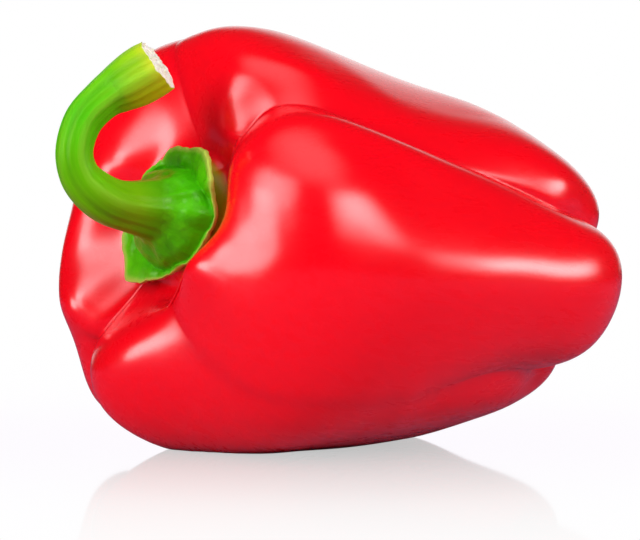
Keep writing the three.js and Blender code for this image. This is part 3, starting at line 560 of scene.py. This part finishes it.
# mask of the stem's downward-facing side near the cut end, for painted light there
side = SP-SP.mean(1, keepdims=True)
side = side[..., 2]/(np.linalg.norm(side, axis=2)+1e-9)
lower = smoothstep(0.15, 0.85, -side)*smoothstep(0.70, 0.92, smask/arc[-1])[:, None]
st_att = {
    'cut': np.concatenate([[0], np.repeat(cutmask, NT), [1]]),
    'arc': np.concatenate([[0], np.repeat(smask/arc[-1], NT), [1]]),
    'lower': np.concatenate([[0], lower.ravel(), [0]]),
    'flow': np.concatenate([[[0, 0, 0]], np.stack([np.tile(np.cos(TH), KS), np.tile(np.sin(TH), KS), np.repeat(smask, NT)*0.03], -1), [[0, 0, 0]]]),
    # ridge offsets, used for a painted highlight on the stem's ridge tops and painted shade in its furrows
    'ridge': np.concatenate([[0], np.concatenate([ridge(TH, s) for s in smask])*14, [0]]),
}
stalk = build("stem_stalk", place(sv), sf, st_att)


def vertex_normals(me):
    n = np.empty(len(me.vertices)*3, np.float32)
    me.vertex_normals.foreach_get('vector', n)
    return n.reshape(-1, 3)


cn, sn = vertex_normals(calyx.data), vertex_normals(stalk.data)
# outward test, then the shared normals round the neck
nt = len(top)
for k in range(12):
    w = 1-k/12
    cn[1+k*NT:1+(k+1)*NT] = (1-w)*cn[1+k*NT:1+(k+1)*NT]+w*JN[nt-1-k]
    sn[1+(k+1)*NT:1+(k+2)*NT] = (1-w)*sn[1+(k+1)*NT:1+(k+2)*NT]+w*JN[nt-1+k]
for ob, nn in ((calyx, cn), (stalk, sn)):
    nn /= np.linalg.norm(nn, axis=1, keepdims=True)+1e-12
    ob.data.normals_split_custom_set_from_vertices([tuple(v) for v in nn])

# ------------------------------------------------------------------ light settings
FLOOR_GLOW = 1.0
FLOOR_BOUNCE = (0.46, 0.17, 0.30)
FLOOR_FADE = [(0.0, 0.5), (0.5, 0.0), (0.04, 0.40), (0.088, 0.26), (0.146, 0.10), (0.205, 0.04), (0.293, 0.015), (0.4, 0.006)]   # distance in m, share of mirror
WORLD_GRADE = (0.80, 1.0, 0.03, 1.0)      # from the camera's side to the backdrop
LIGHTS = [
    # name, azimuth, elevation, distance, width, height, power, soft share of each side
    ("softbox_left", -92, 15, 1.1, 0.36, 0.50, 2.6, 0.25),
    ("softbox_left_halo", -86, 31, 1.15, 0.75, 0.70, 3.9, 0.40),
    ("softbox_left_low", -106, 5, 1.1, 0.44, 0.40, 2.6, 0.35),
    ("softbox_front", -4, 29, 1.3, 1.45, 0.68, 9.4, 0.45),
    ("softbox_low", 44, 13, 1.3, 0.95, 0.42, 4.2, 0.45),
    ("overhead", -45, 68, 1.2, 1.7, 1.6, 4.6, 0.4),
]

# ------------------------------------------------------------------ materials
class Nodes:
    """Small helper for node materials."""

    def __init__(self, name):
        self.mat = bpy.data.materials.new(name)
        self.mat.use_nodes = True
        self.t = self.mat.node_tree
        self.t.nodes.clear()
        self.out = self.t.nodes.new('ShaderNodeOutputMaterial')

    def new(self, kind, **kw):
        n = self.t.nodes.new(kind)
        for k, v in kw.items():
            setattr(n, k, v)
        return n

    def link(self, a, b):
        self.t.links.new(a, b)

    def attr(self, name):
        return self.new('ShaderNodeAttribute', attribute_name=name)

    def noise(self, scale, detail=3.0, rough=0.5, vec=None, distortion=0.0):
        n = self.new('ShaderNodeTexNoise')
        n.inputs['Scale'].default_value = scale
        n.inputs['Detail'].default_value = detail
        n.inputs['Roughness'].default_value = rough
        n.inputs['Distortion'].default_value = distortion
        if vec is not None:
            self.link(vec, n.inputs['Vector'])
        return n

    def ramp(self, fac, stops):
        n = self.new('ShaderNodeValToRGB')
        while len(n.color_ramp.elements) > 1:
            n.color_ramp.elements.remove(n.color_ramp.elements[-1])
        first = True
        for pos, col in stops:
            el = n.color_ramp.elements[0] if first else n.color_ramp.elements.new(pos)
            el.position = pos
            el.color = (*col, 1.0) if len(col) == 3 else col
            first = False
        self.link(fac, n.inputs['Fac'])
        return n

    def mix(self, fac, a, b, mode='MIX'):
        n = self.new('ShaderNodeMix', data_type='RGBA', blend_type=mode)
        n.clamp_factor = True
        for sock, val in ((n.inputs[0], fac), (n.inputs[6], a), (n.inputs[7], b)):
            if isinstance(val, bpy.types.NodeSocket):
                self.link(val, sock)
            elif isinstance(val, (int, float)):
                sock.default_value = val
            else:
                sock.default_value = (*val, 1.0)
        return n.outputs[2]

    def math(self, op, a, b=None, c=None, clamp=False):
        n = self.new('ShaderNodeMath', operation=op)
        n.use_clamp = clamp
        for i, v in enumerate((a, b, c)):
            if v is None:
                continue
            if isinstance(v, bpy.types.NodeSocket):
                self.link(v, n.inputs[i])
            else:
                n.inputs[i].default_value = v
        return n.outputs[0]

    def map(self, v, a, b, c, d):
        n = self.new('ShaderNodeMapRange')
        n.clamp = True
        self.link(v, n.inputs['Value'])
        for k, x in zip(('From Min', 'From Max', 'To Min', 'To Max'), (a, b, c, d)):
            n.inputs[k].default_value = x
        return n.outputs['Result']

    def bump(self, height, strength, dist, normal=None):
        n = self.new('ShaderNodeBump')
        n.inputs['Strength'].default_value = strength
        n.inputs['Distance'].default_value = dist
        self.link(height, n.inputs['Height'])
        if normal is not None:
            self.link(normal, n.inputs['Normal'])
        return n.outputs['Normal']

    def principled(self, color, **kw):
        b = self.new('ShaderNodeBsdfPrincipled')
        if isinstance(color, bpy.types.NodeSocket):
            self.link(color, b.inputs['Base Color'])
        else:
            b.inputs['Base Color'].default_value = (*color, 1.0)
        for k, v in kw.items():
            sock = b.inputs[k]
            if isinstance(v, bpy.types.NodeSocket):
                self.link(v, sock)
            else:
                sock.default_value = v
        self.link(b.outputs[0], self.out.inputs['Surface'])
        return b


def skin_material():
    m = Nodes("pepper_skin")
    flow, groove, neck, along = m.attr('flow'), m.attr('groove'), m.attr('neck'), m.attr('along')
    co = m.new('ShaderNodeTexCoord').outputs['Object']
    big = m.noise(22.0, 3.0, 0.5, co)
    streak = m.noise(5.0, 5.0, 0.6, flow.outputs['Vector'], 0.4)
    fine = m.noise(900.0, 3.0, 0.6, co)
    red = m.ramp(big.outputs['Fac'], [(0.3, (0.93, 0.0, 0.008)), (0.55, (0.98, 0.0, 0.008)), (0.75, (1.0, 0.0, 0.008))])
    c = m.mix(m.map(streak.outputs['Fac'], 0.45, 0.8, 0.0, 0.18), red.outputs['Color'], (0.76, 0.0, 0.010))
    # painted shade: the red is darkened along the grooves, where the creases fall into shadow
    c = m.mix(m.math('MULTIPLY', groove.outputs['Fac'], 0.3), c, (0.58, 0.0, 0.010))
    # the ring of skin under the calyx is still olive brown
    wob = m.math('ADD', neck.outputs['Fac'], m.math('MULTIPLY', m.map(m.noise(160.0, 2.0, 0.5, co).outputs['Fac'], 0.3, 0.7, -0.18, 0.18), m.map(neck.outputs['Fac'], 0.0, 0.2, 0.0, 1.0)))
    olive = m.ramp(wob, [(0.15, (0.80, 0.03, 0.004)), (0.4, (0.62, 0.16, 0.004)), (0.75, (0.42, 0.32, 0.004)), (1.0, (0.30, 0.34, 0.004))])
    c = m.mix(m.map(wob, 0.05, 0.4, 0.0, 1.0), c, olive.outputs['Color'])
    h = m.math('ADD', m.math('MULTIPLY', fine.outputs['Fac'], 0.15), m.math('MULTIPLY', streak.outputs['Fac'], 0.85))
    n = m.bump(h, 0.10, 0.0006)
    m.principled(c, Roughness=m.map(streak.outputs['Fac'], 0.3, 0.7, 0.25, 0.31), **{
        'Normal': n, 'IOR': 1.45, 'Specular IOR Level': 0.28,
        'Subsurface Weight': 0.10, 'Subsurface Radius': (1.0, 0.10, 0.10), 'Subsurface Scale': 0.004,
        'Specular Tint': (1.0, 0.38, 0.46, 1.0),
        'Coat Weight': m.map(neck.outputs['Fac'], 0.0, 0.5, 0.9, 0.1), 'Coat Roughness': 0.17, 'Coat IOR': 1.5})
    return m.mat


def calyx_material():
    m = Nodes("calyx_tissue")
    zone, edge, flow, ang = m.attr('zone'), m.attr('edge'), m.attr('flow'), m.attr('angle')
    co = m.new('ShaderNodeTexCoord').outputs['Object']
    n1 = m.noise(230.0, 4.0, 0.6, co, 0.3)
    n2 = m.noise(7.0, 4.0, 0.6, flow.outputs['Vector'], 0.2)
    n3 = m.noise(1200.0, 2.0, 0.5, co)
    blend = m.math('ADD', m.math('MULTIPLY', n1.outputs['Fac'], 0.6), m.math('MULTIPLY', n2.outputs['Fac'], 0.4))
    g = m.ramp(blend, [(0.36, (0.040, 0.32, 0.001)), (0.5, (0.065, 0.50, 0.001)), (0.64, (0.12, 0.66, 0.003))])
    # darker towards the neck, paler on the flange
    z = m.ramp(m.math('DIVIDE', zone.outputs['Fac'], 2.0), [(0.0, (0.09, 0.40, 0.001)), (0.2, (0.07, 0.42, 0.001)), (0.5, (0.055, 0.48, 0.001)), (0.75, (0.12, 0.55, 0.003)), (1.0, (0.20, 0.62, 0.010))])
    c = m.mix(m.map(zone.outputs['Fac'], 0.0, 0.25, 1.0, 0.5), g.outputs['Color'], z.outputs['Color'])
    c = m.mix(m.math('MULTIPLY', edge.outputs['Fac'], 0.8), c, (0.52, 0.60, 0.10))
    h = m.math('ADD', m.math('MULTIPLY', n1.outputs['Fac'], 0.8), m.math('MULTIPLY', n3.outputs['Fac'], 0.2))
    n = m.bump(h, 0.7, 0.0009)
    m.principled(c, Roughness=0.34, **{'Normal': n, 'Specular IOR Level': 0.22, 'Specular Tint': (0.8, 1.0, 0.35, 1.0), 'Subsurface Weight': 0.08,
                 'Subsurface Radius': (0.5, 1.0, 0.1), 'Subsurface Scale': 0.0015, 'Coat Weight': 0.1, 'Coat Roughness': 0.2})
    return m.mat


def stem_material():
    m = Nodes("stem_tissue")
    cut, arc_, flow, ridge_shading = m.attr('cut'), m.attr('arc'), m.attr('flow'), m.attr('ridge')
    co = m.new('ShaderNodeTexCoord').outputs['Object']
    n1 = m.noise(5.0, 5.0, 0.6, flow.outputs['Vector'], 0.3)
    n2 = m.noise(300.0, 3.0, 0.5, co)
    g = m.ramp(arc_.outputs['Fac'], [(0.0, (0.09, 0.40, 0.001)), (0.10, (0.18, 0.48, 0.002)), (0.3, (0.14, 0.52, 0.002)), (0.6, (0.07, 0.52, 0.001)), (0.82, (0.14, 0.58, 0.004)), (0.95, (0.34, 0.64, 0.01)), (1.0, (0.58, 0.68, 0.02))])
    away = m.map(arc_.outputs['Fac'], 0.02, 0.2, 0.0, 1.0)
    c = m.mix(m.math('MULTIPLY', m.map(n1.outputs['Fac'], 0.45, 0.75, 0.0, 0.3), away), g.outputs['Color'], (0.26, 0.58, 0.02))
    # painted highlight and shade: the stem's ridge tops are painted paler and the furrows between them darker
    c = m.mix(m.math('MULTIPLY', m.map(ridge_shading.outputs['Fac'], 0.2, 0.9, 0.0, 0.28), away), c, (0.36, 0.64, 0.05))
    c = m.mix(m.math('MULTIPLY', m.map(ridge_shading.outputs['Fac'], -0.1, -0.8, 0.0, 0.35), away), c, (0.045, 0.28, 0.001))
    # painted light: the downward-facing side near the cut end is painted paler yellow-green, which lifts the shade
    # there
    c = m.mix(m.math('MULTIPLY', m.attr('lower').outputs['Fac'], 0.8), c, (0.62, 0.86, 0.006))
    pale = m.ramp(m.noise(700.0, 4.0, 0.7, co, 0.6).outputs['Fac'], [(0.28, (0.62, 0.52, 0.32)), (0.45, (0.88, 0.83, 0.68)), (0.7, (0.97, 0.95, 0.88))])
    c = m.mix(m.map(cut.outputs['Fac'], 0.2, 0.8, 0.0, 1.0), c, pale.outputs['Color'])
    h = m.math('ADD', m.math('MULTIPLY', n1.outputs['Fac'], 0.8), m.math('MULTIPLY', n2.outputs['Fac'], 0.2))
    n = m.bump(h, 0.35, 0.0006)
    m.principled(c, Roughness=m.map(cut.outputs['Fac'], 0.0, 1.0, 0.36, 0.8), **{'Normal': n, 'Specular IOR Level': 0.22, 'Specular Tint': (0.8, 1.0, 0.35, 1.0), 'Subsurface Weight': 0.1,
                 'Subsurface Radius': (0.5, 1.0, 0.15), 'Subsurface Scale': 0.002})
    return m.mat


fruit.data.materials.append(skin_material())
calyx.data.materials.append(calyx_material())
stalk.data.materials.append(stem_material())
for ob, node, slot in ((fruit, "fruit", "skin"), (calyx, "calyx", "calyx_green"), (stalk, "stem", "stem_green")):
    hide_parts(node)
    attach(ob, "root")

# ------------------------------------------------------------------ floor, light, camera
scene = bpy.context.scene
scene.view_settings.view_transform = 'Standard'
scene.view_settings.look = 'None'
scene.view_settings.exposure = 0.0
scene.view_settings.gamma = 1.0

bpy.ops.mesh.primitive_circle_add(vertices=96, radius=12.0, fill_type='NGON', location=(0, 0, 0))
floor = bpy.context.object
floor.name = "floor"
m = Nodes("pale_floor")
geo = m.new('ShaderNodeNewGeometry')
length = m.new('ShaderNodeVectorMath', operation='LENGTH')
m.link(geo.outputs['Position'], length.inputs[0])
# the floor is lit evenly from below its surface, as a light table is
diff = m.new('ShaderNodeBsdfDiffuse')
diff.inputs['Color'].default_value = (*FLOOR_BOUNCE, 1)
emi = m.new('ShaderNodeEmission')
emi.inputs['Color'].default_value = (1, 1, 1, 1)
emi.inputs['Strength'].default_value = FLOOR_GLOW
glo = m.new('ShaderNodeBsdfGlossy')
glo.inputs['Color'].default_value = (0.97, 0.90, 1.0, 1)
glo.inputs['Roughness'].default_value = 0.05
mx = m.new('ShaderNodeMixShader')
fade = m.new('ShaderNodeFloatCurve')
span = m.map(length.outputs['Value'], 0.0, 0.5, 0.0, 1.0)
m.link(span, fade.inputs['Value'])
curve = fade.mapping.curves[0]
for k, (px, py) in enumerate(FLOOR_FADE):
    if k < 2:
        curve.points[k].location = (px/0.5, py)
    else:
        curve.points.new(px/0.5, py)
fade.mapping.update()
fres = m.new('ShaderNodeFresnel')
fres.inputs['IOR'].default_value = 1.33
graze = m.math('POWER', m.math('DIVIDE', fres.outputs[0], 0.56), 2.0)
m.link(m.math('MULTIPLY', fade.outputs[0], graze, clamp=True), mx.inputs[0])
m.link(emi.outputs[0], mx.inputs[1])
m.link(glo.outputs[0], mx.inputs[2])
seen = m.new('ShaderNodeMixShader')
m.link(m.new('ShaderNodeLightPath').outputs['Is Camera Ray'], seen.inputs[0])
m.link(diff.outputs[0], seen.inputs[1])
m.link(mx.outputs[0], seen.inputs[2])
m.link(seen.outputs[0], m.out.inputs['Surface'])
floor.data.materials.append(m.mat)

# a white backdrop behind the pepper and a darker room on the camera's side
world = bpy.data.worlds.new("studio")
scene.world = world
world.use_nodes = True
wt = world.node_tree
wt.nodes.clear()


def wnode(kind, **kw):
    n = wt.nodes.new(kind)
    for k, v in kw.items():
        setattr(n, k, v)
    return n


wo = wnode('ShaderNodeOutputWorld')
bg_seen = wnode('ShaderNodeBackground')
bg_seen.inputs[0].default_value = (1, 1, 1, 1)
bg_seen.inputs[1].default_value = 1.0
bg_lit = wnode('ShaderNodeBackground')
bg_lit.inputs[0].default_value = (1, 1, 1, 1)
direction = wnode('ShaderNodeTexCoord')
dot = wnode('ShaderNodeVectorMath', operation='DOT_PRODUCT')
ea, ee_ = math.radians(CAM_AZ), 0.0
dot.inputs[1].default_value = (-math.sin(ea)*math.cos(ee_), math.cos(ea)*math.cos(ee_), math.sin(ee_))
wt.links.new(direction.outputs['Generated'], dot.inputs[0])
grade = wnode('ShaderNodeMapRange')
grade.interpolation_type = 'SMOOTHSTEP'
for k, x in zip(('From Min', 'From Max', 'To Min', 'To Max'), WORLD_GRADE):
    grade.inputs[k].default_value = x
wt.links.new(dot.outputs['Value'], grade.inputs['Value'])
wt.links.new(grade.outputs['Result'], bg_lit.inputs[1])
lp = wnode('ShaderNodeLightPath')
mixw = wnode('ShaderNodeMixShader')
wt.links.new(lp.outputs['Is Camera Ray'], mixw.inputs[0])
wt.links.new(bg_lit.outputs[0], mixw.inputs[1])
wt.links.new(bg_seen.outputs[0], mixw.inputs[2])
wt.links.new(mixw.outputs[0], wo.inputs['Surface'])

CENTRE = Vector((0.0, 0.0, 0.045))


def soft_light(name, az, el, dist, size_x, size_y, power, edge=0.25, color=(1, 1, 1)):
    """A softbox at azimuth az and elevation el (degrees, as the camera's), facing the pepper.
    edge is the share of each side over which the cloth fades out."""
    a_, e_ = math.radians(az), math.radians(el)
    back = Vector((math.sin(a_)*math.cos(e_), -math.cos(a_)*math.cos(e_), math.sin(e_)))
    li = bpy.data.lights.new(name, 'AREA')
    li.shape = 'RECTANGLE'
    li.size, li.size_y = size_x, size_y
    li.energy = power/(1-edge)**2
    li.color = color
    li.use_nodes = True
    lt = li.node_tree
    lt.nodes.clear()
    uv = lt.nodes.new('ShaderNodeNewGeometry')
    split = lt.nodes.new('ShaderNodeSeparateXYZ')
    lt.links.new(uv.outputs['Parametric'], split.inputs[0])
    fades = []
    for axis in (0, 1):
        off = lt.nodes.new('ShaderNodeMath')
        off.operation = 'SUBTRACT'
        off.inputs[1].default_value = 0.5
        lt.links.new(split.outputs[axis], off.inputs[0])
        dist_ = lt.nodes.new('ShaderNodeMath')
        dist_.operation = 'ABSOLUTE'
        lt.links.new(off.outputs[0], dist_.inputs[0])
        fade_ = lt.nodes.new('ShaderNodeMapRange')
        fade_.interpolation_type = 'SMOOTHSTEP'
        fade_.inputs['From Min'].default_value = 0.5
        fade_.inputs['From Max'].default_value = 0.5-edge
        fade_.inputs['To Min'].default_value = 0.0
        fade_.inputs['To Max'].default_value = 1.0
        lt.links.new(dist_.outputs[0], fade_.inputs['Value'])
        fades.append(fade_.outputs['Result'])
    both = lt.nodes.new('ShaderNodeMath')
    both.operation = 'MULTIPLY'
    lt.links.new(fades[0], both.inputs[0])
    lt.links.new(fades[1], both.inputs[1])
    em = lt.nodes.new('ShaderNodeEmission')
    lt.links.new(both.outputs[0], em.inputs['Strength'])
    lo = lt.nodes.new('ShaderNodeOutputLight')
    lt.links.new(em.outputs[0], lo.inputs['Surface'])
    ob = bpy.data.objects.new(name, li)
    ob.location = CENTRE+back*dist
    ob.rotation_mode = 'QUATERNION'
    ob.rotation_quaternion = back.to_track_quat('Z', 'Y')
    ob.visible_camera = False
    scene.collection.objects.link(ob)
    return ob


for args in LIGHTS:
    soft_light(*args)

cam_data = bpy.data.cameras.new("camera")
cam_data.sensor_width = 36.0
cam_data.lens = CAM_F*36.0/640.0
cam_data.clip_start, cam_data.clip_end = 0.05, 30.0
cam = bpy.data.objects.new("camera", cam_data)
scene.collection.objects.link(cam)
scene.camera = cam
az_, el_ = math.radians(CAM_AZ), math.radians(CAM_EL)
back = Vector((math.sin(az_)*math.cos(el_), -math.cos(az_)*math.cos(el_), math.sin(el_)))
target = Vector(place(CAM_TARGET))
cam.location = target+back*(CAM_DIST*0.001)
cam.rotation_mode = 'QUATERNION'
right = Vector((math.cos(az_), math.sin(az_), 0.0))
up = back.cross(right)
cam.rotation_quaternion = Matrix((right, up, back)).transposed().to_quaternion()
